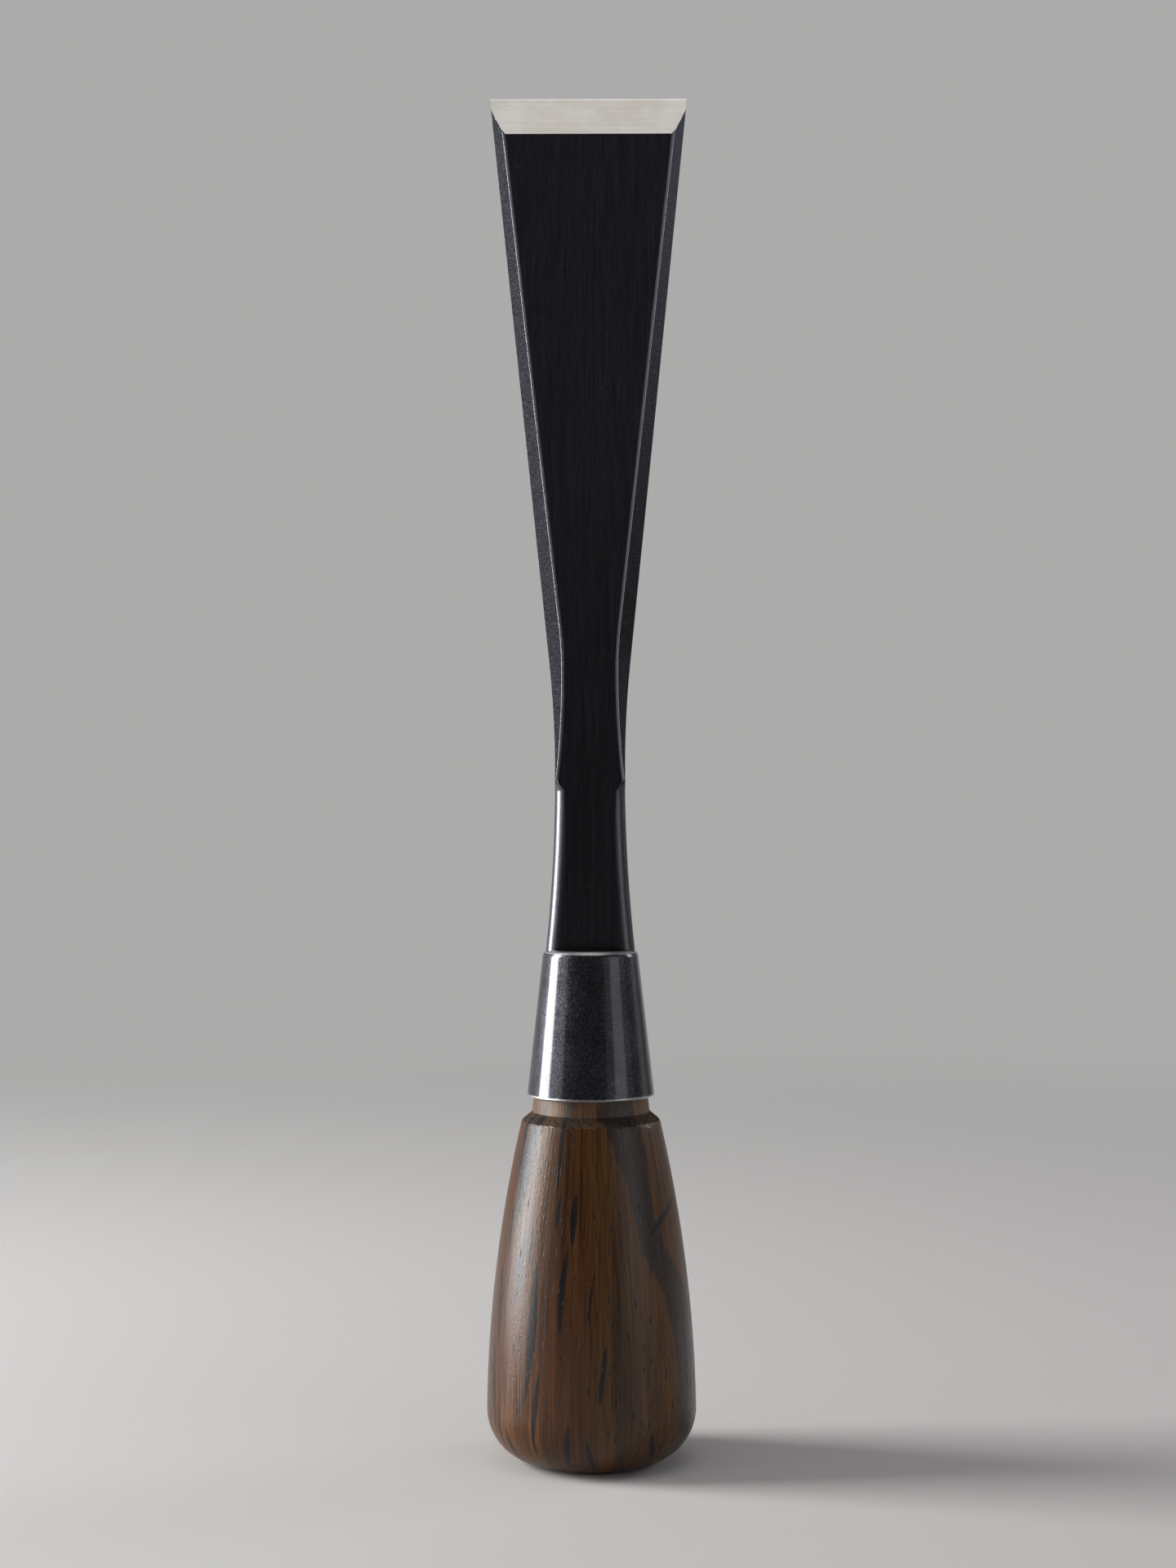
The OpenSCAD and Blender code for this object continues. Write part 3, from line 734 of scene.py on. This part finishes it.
# The blade is a stack of sections. The edge of each, as x over y, is the nearest to the axis of side, side
# bevel, arris strip and rounded neck. A section runs from the middle of the front to the middle of the back,
# and is mirrored. Below, rings follow the crown and the spigot.
def buildBlade(finishes):
    s = bladeSizes
    first = bladeOutline(np.array([[s["tipZ"]]]))
    heelZ = first["heelZ"]
    z = sectionHeights(heelZ, first["honeZ"], float(domeZ(-s["frontY"], s["seatGap"])) + s["footLift"])
    o = bladeOutline(z)
    lean = radians(s["sideAngle"])
    sin1, cos1, sin2, cos2 = sin(lean), cos(lean), sin(lean / 2), cos(lean / 2)
    front, back = o["front"], np.full_like(z, s["backY"])
    flank = o["side"]
    onNeck = z < s["roundTopZ"] + s["roundEnd"]
    roundY = s["frontY"] + s["neckRound"]
    roundR = s["neckRound"] + np.maximum(z - s["roundTopZ"], 0) / s["roundEndSlope"]

    def edgeX(y):
        bevelX, stripX = (o["bevelCut"] + y * cos1) / sin1, (o["stripCut"] + y * cos2) / sin2
        roundX = flank - s["neckRound"] + np.sqrt(np.maximum(roundR ** 2 - np.minimum(y - roundY, 0) ** 2, 0))
        footX = np.sqrt(np.maximum(s["footEdge"] ** 2 - y ** 2, 0))
        sideX = np.where(onNeck, np.minimum(roundX, footX), flank)
        return np.minimum(np.minimum(bevelX, stripX), np.minimum(flank, sideX))

    crossing = (sin1 * o["stripCut"] - sin2 * o["bevelCut"]) / -sin(lean / 2)
    endBevel = np.maximum((flank * sin1 - o["bevelCut"]) / cos1, (flank * sin2 - o["stripCut"]) / cos2)
    endBevel = np.clip(endBevel, front, back)
    endStrip = np.clip(np.minimum(crossing, endBevel), front, back)
    footTurn = np.sqrt(np.maximum(s["footEdge"] ** 2 - flank ** 2, 0))
    roundFront = np.clip(np.where(onNeck, roundY, front), endBevel, back)
    roundBack = np.clip(np.where(onNeck, footTurn, back), roundFront, back)
    names = list(bladeParts)
    counts = np.array([count for _, count in bladeParts.values()])
    ends = (front, endStrip, endBevel, roundFront, roundBack, back)
    close = s["cornerRound"]
    xs, ys = [stations(0 * z, edgeX(front), counts[0], close)], [np.repeat(front, counts[0], 1)]
    for name, count, start, end in zip(names[1:-1], counts[1:-1], ends, ends[1:]):
        if name == "round":
            y = start + (end - start) * (1 - np.cos(np.arange(count) / count * pi / 2))
        else:
            y = stations(start, end, count, close)
        xs.append(edgeX(y))
        ys.append(y)
    xs.append(join([stations(edgeX(back), 0 * z, counts[-1], close), 0 * z], 1))
    ys.append(np.repeat(back, counts[-1] + 1, 1))
    x, y = join(xs, 1), join(ys, 1)

    # the front arris, the foot of the side bevel and the back corner are eased and marked as edges
    frontArris, stripEdge, bevelFoot, _, _, backCorner = np.cumsum(counts)[:-1]
    allRows, bladeRows = np.arange(len(z)), np.flatnonzero(z[:, 0] > s["waistZ"] - s["edgeBelowWaist"])
    edge = np.zeros_like(x)
    edge[bladeRows, stripEdge] = 1.0
    eased = ((frontArris, bladeRows, 1), (bevelFoot, bladeRows, s["footOfBevelEdge"]),
             (backCorner, allRows, 1))
    for k, rows, amount in eased:
        for a in (x, y):
            a[rows, k] = 0.5 * a[rows, k] + 0.25 * (a[rows, k - 1] + a[rows, k + 1])
        edge[rows, k] = amount

    # the rub on the neck rises over the first third of its rounded arris and goes on to the back's middle
    partOf = np.repeat(np.arange(len(names)), counts)
    rounding, flat = names.index("round"), names.index("back")
    roundShare = np.clip(3 * (np.arange(len(partOf)) - bevelFoot) / counts[rounding], 0, 1)
    across = np.where(partOf == rounding, roundShare, np.where(partOf > rounding, 1, 0))
    rub = np.zeros_like(x)
    rub[np.flatnonzero(z[:, 0] < s["roundTopZ"] + s["rubAboveRound"]), :len(partOf)] = across

    ring = lambda a, sign=1: join([a, sign * a[:, -2:0:-1]], 1)
    x, y, edge, rub = ring(x, -1), ring(y), ring(edge), ring(rub)
    partOf = join([partOf, partOf[::-1]])
    points = np.stack([x, y, np.repeat(z, x.shape[1], 1)], 2)

    # the foot meets the crown; below it rings run in over the crown, down the spigot and across its end
    last = points[-1, :, :2]
    radius = np.linalg.norm(last, axis=1)
    points[-1, :, 2] = domeZ(radius, s["seatGap"])
    way = last / radius[:, None]
    inward = np.linspace(s["footEdge"], s["spigotRadius"], s["seatRings"] + 1)[1:, None]
    seat = np.minimum(radius[None, :], inward)
    seatHigh = domeZ(seat, s["seatGap"])
    pinHigh = np.linspace(seatHigh[-1, 0], s["spigotZ"], s["pinRings"] + 1)[1:, None] + 0 * radius
    endR = np.linspace(s["spigotRadius"], 0, s["endRings"] + 1)[1:, None] + 0 * radius
    lowR = join([seat, 0 * pinHigh + s["spigotRadius"], endR])
    lowZ = join([seatHigh, pinHigh, 0 * endR + s["spigotZ"]])
    points = join([points, join([lowR[:, :, None] * way, lowZ[:, :, None]], 2)])
    edge, rub = join([edge, 0 * lowR]), join([rub, 0 * lowR])

    finishAt = {name: index for index, name in enumerate(finishes)}
    columnFinish = np.array([finishAt[bladeParts[names[p]][0]] for p in partOf])
    finishOf = np.tile(columnFinish, (len(points) - 1, 1))
    onFace = np.flatnonzero(partOf == 0)
    finishOf[np.ix_(np.flatnonzero(z[:-1, 0] > heelZ + tiny), onFace)] = finishAt["bevel"]
    finishOf[0, onFace] = finishAt["hone"]
    low = len(z) - 1
    finishOf[low:] = finishAt["black"]
    neckRows = np.flatnonzero(z[:-1, 0] < s["roundTopZ"])
    finishOf[np.ix_(neckRows, np.flatnonzero(partOf != flat))] = finishAt["black"]
    around = join([points[:low + 1], points[:low + 1, :1]], 1)
    widths = np.linalg.norm(np.diff(around, axis=1), axis=2).mean(0)
    heights = join([np.abs(np.diff(z[:, 0])), np.full(len(points) - low - 1, s["mapLow"])])
    heights[:s["bevelRows"] + 1] *= s["mapBevel"]
    return skin("blade", points, shares(widths + s["mapLeast"]), shares(heights), finishes.values(), finishOf,
                {"edge": edge, "rub": rub}, s["sharpAngle"])


# Socket

# One closed profile carried round the axis: mouth, outer cone, rounded rim, dome, spigot hole, floor and bore
def buildSocket(finish):
    s = socketSizes
    slope = (s["mouthRadius"] - s["crownRadius"]) / (s["rimZ"] - s["mouthZ"])
    cone = lambda z: s["mouthRadius"] - (z - s["mouthZ"]) * slope
    bore = lambda z: cone(z) - s["wall"]
    lean, lip = atan(slope), s["lip"]
    centre, n1, n2 = crownRim()
    rimLow, rimHigh = centre + n1 * s["crownRound"], centre + n2 * s["crownRound"]
    low, lowOut = s["mouthZ"], s["mouthZ"] + lip
    mouthIn, mouthOut = (bore(low) + lip, low), (s["mouthRadius"] - lip, low)
    coneFoot, boreFoot = (cone(lowOut), lowOut), (bore(lowOut), lowOut)
    holeTop, holeFoot = (s["holeRadius"], float(domeZ(s["holeRadius"]))), (s["holeRadius"], s["floorZ"])
    floorRim = (bore(s["floorZ"]), s["floorZ"])
    legs = [
        leg(mouthIn, mouthOut, 4),
        leg(mouthOut, coneFoot, 3),
        leg(coneFoot, rimLow, 44),
        arcLeg(centre, s["crownRound"], degrees(lean), 90 - s["domeAngle"], 8),
        leg(rimHigh, holeTop, 10),
        leg(holeTop, holeFoot, 6),
        leg(holeFoot, floorRim, 6),
        leg(floorRim, boreFoot, 24),
        leg(boreFoot, mouthIn, 2),
    ]
    profile = join(legs)
    _, lipStart, coneStart, rimStart, domeStart, holeStart, _, _, boreEnd, _ = legStarts(legs)
    edge = np.zeros(len(profile))
    edge[lipStart:coneStart + 1] = 1.0
    edge[rimStart + s["rimWearFrom"]:domeStart - s["rimWearShort"]] = s["rimWear"]
    steps = np.linalg.norm(np.diff(join([profile, profile[:1]]), axis=0), axis=1)
    steps[holeStart:boreEnd] *= s["insideMap"]     # the unseen inside takes little of the map
    columns = s["columns"]
    return skin("socket", turned(profile, columns), np.arange(columns + 1) / columns, shares(steps),
                [finish], 0, {"edge": edge[:, None]}, s["sharpAngle"], profileCloses=True)


# Handle

handleSizes = {
    "radius": 20.15, "length": 65.2, "bellyZ": 5.5, "buttRound": 10, "rimRound": 0.9, "rimRadius": 13.29043,
    "shoulderZ": 66.9, "tenonShoulder": 11.29043, "tenonSlope": 0.113475, "topZ": 89.4, "tenonChamfer": 0.8,
    "tornDepth": 0.2, "tornRate": 6, "tornWaves": 40, "tornSeed": 5, "tornTurns": (14, 64), "tornSlant": 5,
    "columns": 288, "sharpAngle": 32, "buttRows": 8, "buttMap": 0.5, "tenonRowsSeen": 6, "tenonMap": 0.25,
}

# Near-black streaks: angle from the front and height at both ends, half width in mm, sideways bow in mm
handleStreaks = (
    (-19, 90, -24, 53, 0.55, 0.3), (-20, 54, -23, 45.5, 0.36, 0.2), (-10, 53.6, -12, 43.4, 0.62, 0.1),
    (-14, 44, -18, 26, 0.62, 0.5), (-66, 70, -58, 50, 0.75, 0.2), (-64, 52, -61, 40, 0.50, 0),
    (-39, 48, -41, 39.5, 0.30, 0.1), (-35, 42, -39, 13, 0.95, -0.5), (-67, 40, -64, 22, 0.60, 0.2),
    (-70, 26, -65, 6, 0.60, 0.1), (3, 41, -2, 27, 0.26, 0.3), (9, 27, 4, 13, 0.46, 0.2),
    (-29, 22, -34, 3, 0.50, 0.2), (-12, 12, -15, 1, 0.62, 0), (-3, 9, 2, 1, 0.55, 0.2),
    (33, 9.5, 42, 1, 0.55, 0.2), (-54, 9, -50, 0.5, 0.6, 0.2), (46, 64.5, 45, 54, 0.22, 0.2),
    (80, 51.6, 40, 44.6, 1.25, 1.7), (-50, 70, -55, 45, 1.5, 0.3), (-47, 47, -50, 31, 0.7, -0.2),
)
# Broad dark band: angle of its middle and half width in mm, at rising heights
handleBand = {
    "height": (0, 8, 14, 20, 27, 34, 42, 49, 56, 66, 90),
    "angle": (62, 65, 70, 72, 68, 60, 43, 38, 34.5, 27, 20),
    "half": (2.6, 3.2, 4.6, 5.6, 5.4, 4.2, 3, 2.6, 2.6, 4.1, 3.2),
}
unseenStreaks = {
    "count": 26, "seed": 11, "angle": (100, 285), "top": (14, 72), "length": (8, 26), "lean": (-5, 5),
    "half": (0.25, 0.75), "bow": (-0.6, 0.6),
}
markLimits = {"streak": (-3, 6), "band": (-6, 6), "overrun": 0.2}


# An angle in degrees brought between -180 and 180
def halfTurn(angle):
    return (angle + 180) % 360 - 180


# Streaks on the side that is out of sight, drawn at random in the same form
def drawUnseen():
    g = np.random.default_rng(unseenStreaks["seed"])
    draw = lambda key: g.uniform(*unseenStreaks[key], unseenStreaks["count"])
    start, top, length = draw("angle"), draw("top"), draw("length")
    return np.stack([start, top, start + draw("lean"), top - length, draw("half"), draw("bow")], 1)


# How far a point of the handle is from the nearest streak and from the band, in mm along the surface. A
# streak's middle runs straight from end to end with a bow, and its half width is W (1 - (2t - 1)^2) at the
# share t of its length, so that it ends in points.
def streakMarks(angle, z, r):
    rows = join([np.array(handleStreaks), drawUnseen()])
    a0, z0, a1, z1, half, bow = (k[:, None, None] for k in rows.T)
    over = markLimits["overrun"]
    t = (z - z0) / (z1 - z0)
    inside = np.clip(t, 0, 1)
    away = halfTurn(angle - (a0 + (a1 - a0) * np.clip(t, -over, 1 + over)))
    across = np.radians(away) * r + bow * 4 * inside * (1 - inside)
    streak = (np.abs(across) - half * (1 - (2 * t - 1) ** 2)).min(0)
    b = handleBand
    bandAway = halfTurn(angle - np.interp(z, b["height"], b["angle"]))
    band = np.abs(np.radians(bandAway)) * r - np.interp(z, b["height"], b["half"])
    return {"streak": np.clip(streak, *markLimits["streak"]), "band": np.clip(band, *markLimits["band"])}


# Uneven torn grain: a sum of waves with whole numbers of turns round the axis, each with a slant and a phase
def tornGrain(angle, along):
    s = handleSizes
    g = np.random.default_rng(s["tornSeed"])
    waves = s["tornWaves"]
    turns = g.integers(*s["tornTurns"], waves)[:, None, None]
    slant = g.uniform(-s["tornSlant"], s["tornSlant"], waves)[:, None, None]
    phase = g.uniform(0, 2 * pi, waves)[:, None, None]
    return np.cos(np.radians(angle)[None] * turns + along[None] * slant + phase).sum(0) / sqrt(waves)


# The handle is turned from one profile: flat butt, round, long side curve, rim, sloping shoulder, tenon and
# its chamfered end. The rim and the shoulder are then sunk unevenly by torn grain.
def buildHandle(finishes):
    s = handleSizes
    drop, up = s["radius"] - s["rimRadius"], s["length"] - s["bellyZ"]
    sideR = (up ** 2 + drop ** 2) / (2 * drop)
    sideX = s["radius"] - sideR
    buttA = degrees(asin((s["buttRound"] - s["bellyZ"]) / (sideR - s["buttRound"])))
    buttX = sideX + (sideR - s["buttRound"]) * cos(radians(buttA))
    rimA = degrees(asin((up - s["rimRound"]) / sideR))
    n1 = np.array([cos(radians(rimA)), sin(radians(rimA))])
    shoulder = np.array([s["shoulderZ"] - s["length"], s["rimRadius"] - s["tenonShoulder"]])
    n2 = shoulder / np.linalg.norm(shoulder)
    centre = np.array([s["rimRadius"], s["length"]]) - (n1 + n2) * s["rimRound"] / (1 + n1 @ n2)
    rimLow, rimHigh = centre + n1 * s["rimRound"], centre + n2 * s["rimRound"]
    sideTop = np.array([sideX, s["bellyZ"]]) + sideR * n1
    tenon = lambda z: s["tenonShoulder"] - (z - s["shoulderZ"]) * s["tenonSlope"]
    foot = (s["tenonShoulder"], s["shoulderZ"])
    chamfer = (tenon(s["topZ"] - s["tenonChamfer"]), s["topZ"] - s["tenonChamfer"])
    top = (tenon(s["topZ"]) - s["tenonChamfer"], s["topZ"])
    legs = [
        leg((0, 0), (buttX, 0), s["buttRows"]),
        arcLeg((buttX, s["buttRound"]), s["buttRound"], -90, buttA, 22),
        arcLeg((sideX, s["bellyZ"]), sideR, buttA, rimA, 140),
        leg(sideTop, rimLow, 1),
        arcLeg(centre, s["rimRound"], rimA, degrees(atan2(n2[1], n2[0])), 6),
        leg(rimHigh, foot, 10),
        leg(foot, chamfer, 30),
        leg(chamfer, top, 2),
        leg(top, (0, s["topZ"]), 6),
        np.array([[0, s["topZ"]]]),
    ]
    profile = join(legs)
    rimStart, shoulderStart, tenonStart = legStarts(legs)[4:7]
    columns = s["columns"]
    points = turned(profile, columns)
    angle = np.broadcast_to(np.degrees(np.arange(columns) * 2 * pi / columns), points.shape[:2])
    r, z = np.broadcast_to(profile[:, :1], angle.shape), np.broadcast_to(profile[:, 1:], angle.shape)
    torn = np.zeros((len(profile), 1))
    torn[rimStart:tenonStart - 1] = s["tornDepth"]
    points[:, :, 2] -= np.abs(tornGrain(angle, z * s["tornRate"]) * torn)

    finishAt = {name: index for index, name in enumerate(finishes)}
    finishOf = np.full((len(profile) - 1, columns), finishAt["oiledWood"])
    finishOf[shoulderStart:tenonStart] = finishAt["endGrainWood"]
    finishOf[tenonStart:] = finishAt["bareWood"]
    steps = np.linalg.norm(np.diff(profile, axis=0), axis=1)
    steps[:s["buttRows"]] *= s["buttMap"]
    steps[tenonStart + s["tenonRowsSeen"]:] *= s["tenonMap"]     # the hidden tenon takes little of the map
    return skin("handle", points, np.arange(columns + 1) / columns, shares(steps), finishes.values(),
                finishOf, streakMarks(angle, z, r), s["sharpAngle"])


# The taper is the same at any height
taper = bladeOutline(np.array([[bladeSizes["tipZ"]]]))["taper"]
bladeFinishes = {
    "black": makeBlackSteel(), "bevel": makeGroundBevel("groundBevel"), "side": makeSideGround(taper),
    "strip": makeArrisStrip(), "back": makeLappedBack(bladeSizes["lapEnd"]),
    "hone": makeGroundBevel("honedEdge"),
}
blade = buildBlade(bladeFinishes)
socket = buildSocket(makeGunmetal())
handle = buildHandle({name: makeWood(name) for name in woodLooks})
for piece, node, body, slot in (
        (blade, "blade", "steel", "blade_steel"), (socket, "socket", "steel", "socket_steel"),
        (handle, "handle", "grip", "handle_wood")):
    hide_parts(node)
    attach(piece, body)
print("pieces in place")


# Stage, light and camera

# The floor in mm, with a little grain; the air round the object and the backdrop behind it, by direction
stageSizes = {
    "radius": 1200.0, "drop": 0.05, "columns": 96, "rings": 24, "fade": (160.0, 800.0), "rough": 0.9,
    "specular": 0.2, "floor": (0.62, 0.60, 0.58), "grain": (0.9, 2, 0.6), "grainPaler": 1.06,
    "air": colour(0.09, 0.09, 0.095), "behind": colour(0.41, 0.408, 0.404), "behindStep": (0.72, 0.93),
}


# The floor is a flat disc of rings; its finish fades out towards the rim so that no horizon shows
def buildFloor():
    s = stageSizes
    finish, shader, place = newFinish("paleFloor", 0.0, specular=s["specular"])
    paler = colour(*(s["grainPaler"] * k for k in s["floor"]))
    base = blended(noise(place, *s["grain"]), colour(*s["floor"]), paler)
    feed(shader, base, s["rough"])
    clear = addNode("BsdfTransparent")
    fading = rise(lengthOf(place), *s["fade"])
    both = addNode("MixShader", {0: fading, 1: shader.outputs[0], 2: clear.outputs[0]})
    give(finish.node_tree.nodes["Material Output"], "Surface", both.outputs[0])
    profile = np.stack([np.linspace(s["radius"], 0, s["rings"]), np.full(s["rings"], -s["drop"])], 1)
    points = turned(profile, s["columns"]) * mm
    upward = gridQuads(s["rings"], s["columns"])[:, :, ::-1]
    mesh = bpy.data.meshes.new("floor")
    mesh.from_pydata(points.reshape(-1, 3).tolist(), [], upward.reshape(-1, 4).tolist())
    mesh.materials.append(finish)
    floor = bpy.data.objects.new("floor", mesh)
    scene.collection.objects.link(floor)


# A soft box stands at an angle round from the camera and one above the horizon, and faces a point on the axis
def softBox(name, azimuth, elevation, distance, width, height, radiance, tint, aimZ):
    lamp = bpy.data.lights.new(name, "AREA")
    lamp.shape = "RECTANGLE"
    lamp.size, lamp.size_y = width, height
    lamp.energy = radiance * pi * width * height
    lamp.color = tint
    box = bpy.data.objects.new(name, lamp)
    a, e = radians(azimuth), radians(elevation)
    level = distance * cos(e)
    box.location = (level * sin(a), -level * cos(a), aimZ + distance * sin(e))
    box.rotation_euler = (pi / 2 - e, 0, a)
    box.visible_camera = False
    scene.collection.objects.link(box)


# Name, azimuth and elevation in degrees, distance, width and height in m, radiance, tint, aimed height in m
softBoxes = (
    ("keyLeft", -95, 8, 0.95, 0.42, 0.95, 17.5, (0.97, 0.985, 1.0), 0.16),
    ("sideLeft", -62, 8, 0.95, 0.26, 0.9, 0.9, (0.99, 0.99, 1.0), 0.16),
    ("fillRight", 58, 6, 1.1, 0.48, 0.9, 0.86, (0.95, 0.93, 0.97), 0.15),
    ("wideRight", 58, 6, 1.12, 1.15, 0.95, 0.20, (0.97, 0.95, 0.95), 0.15),
    ("rimLeft", -128, 8, 1.0, 0.6, 0.95, 0.22, (0.99, 0.99, 1.0), 0.15),
    ("rimRight", 116, 8, 1.0, 0.3, 0.95, 0.30, (0.95, 0.95, 1.0), 0.15),
    ("bladeRight", 114, 0, 1.0, 0.3, 0.34, 5.0, (0.86, 0.88, 1.0), 0.47),
    ("topSoft", 0, 74, 1.15, 1.0, 0.8, 1.05, (1.0, 0.985, 0.96), 0.2),
)
buildFloor()
for values in softBoxes:
    softBox(*values)

world = bpy.data.worlds.new("studio")
world.use_nodes = True
trees.append(world.node_tree)
direction = coordinates(addNode("TexCoord").outputs["Generated"])
backdrop = between(direction[1], *stageSizes["behindStep"], stageSizes["air"], stageSizes["behind"])
give(world.node_tree.nodes["Background"], "Color", backdrop)
scene.world = world

cameraView = {
    "depth": 0.5177, "height": 0.1336, "left": 0.00039, "pitchDown": 0.434, "roll": 0.14, "lens": 61.875,
    "sensor": 36.0, "nearest": 0.01,
}
lens = bpy.data.cameras.new("camera")
lens.lens = cameraView["lens"]
lens.sensor_width = cameraView["sensor"]
lens.clip_start = cameraView["nearest"]
camera = bpy.data.objects.new("camera", lens)
camera.location = (-cameraView["left"], -cameraView["depth"], cameraView["height"])
camera.rotation_euler = (radians(90 - cameraView["pitchDown"]), radians(cameraView["roll"]), 0)
scene.collection.objects.link(camera)
scene.camera = camera
print("stage, light and camera set")
